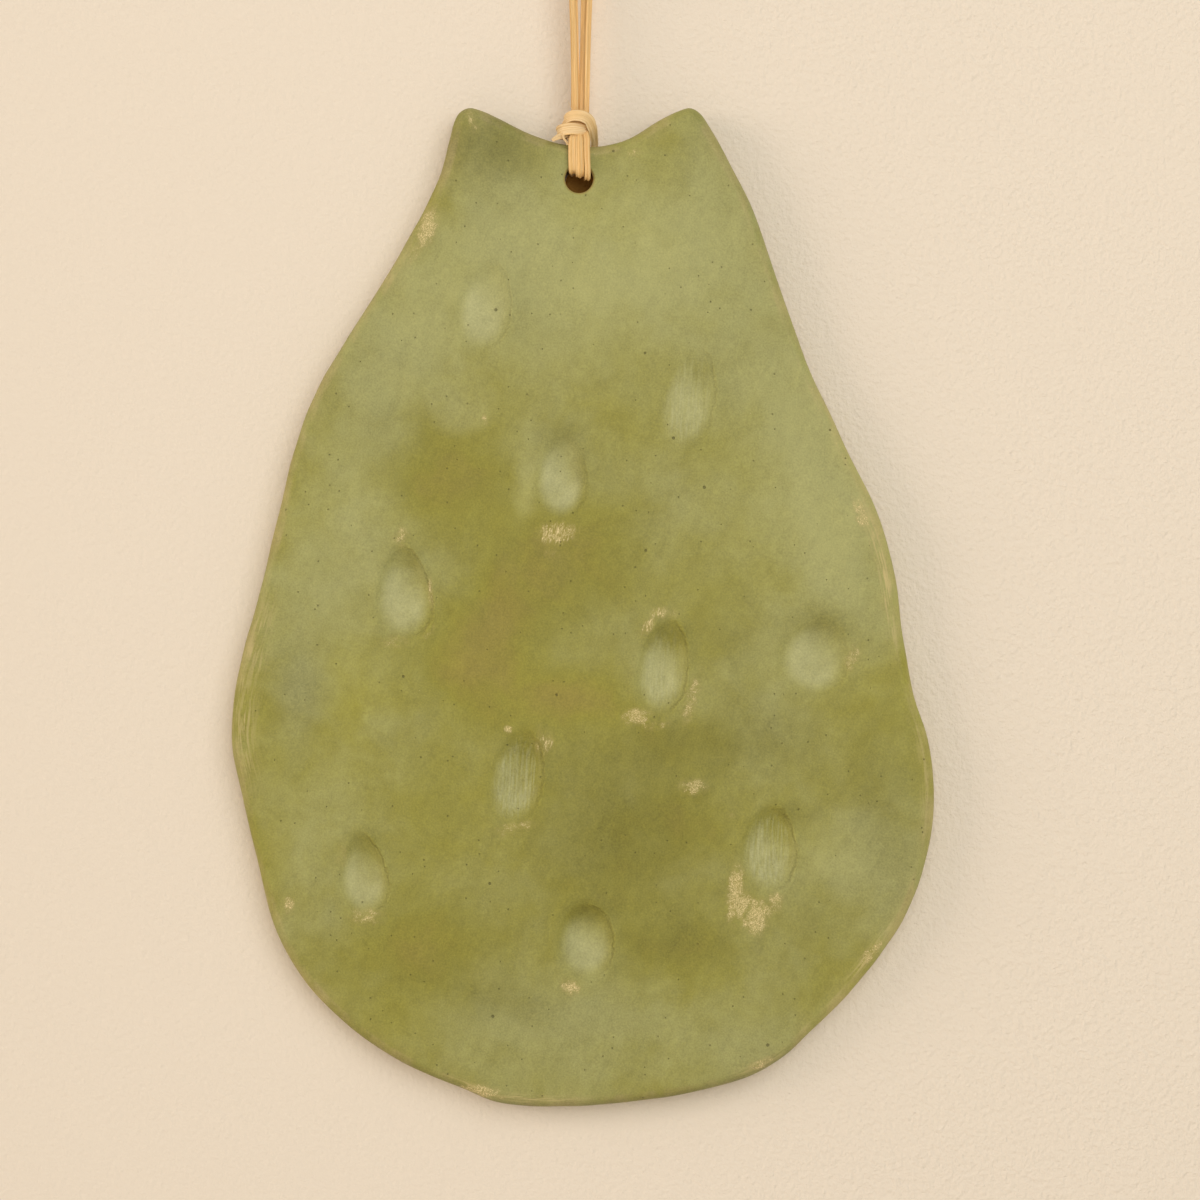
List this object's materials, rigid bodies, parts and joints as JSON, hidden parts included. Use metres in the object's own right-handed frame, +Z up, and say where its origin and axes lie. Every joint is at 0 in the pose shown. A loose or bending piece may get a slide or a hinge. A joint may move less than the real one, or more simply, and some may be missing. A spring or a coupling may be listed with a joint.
{
  "type": "ceramic wall plaque",
  "caption": "Hand-built ceramic wall plaque in the shape of a cactus pad, with finger-pressed dents, hung on a knotted loop of raffia through a hole.",
  "frame": {"origin": "top of the hook, where the raffia loop bears on it, in the plane of the plaque's flat back", "axes": "+Z up, along the plaque's height; +Y out of the flat back, into the wall; +X to the right, seen from the front, which faces -Y"},
  "size_m": [0.1545, 0.0106, 0.2691],
  "materials": {
    "green_ceramic": "matte",
    "raffia": "matte"
  },
  "bodies": {
    "root": {"ceramic_plaque": "green_ceramic", "raffia_knot": "raffia", "raffia_tie_left": "raffia", "raffia_tie_middle": "raffia", "raffia_tie_right": "raffia", "raffia_hanger_left": "raffia", "raffia_hanger_middle": "raffia", "raffia_hanger_right": "raffia"}
  },
  "joints": []
}
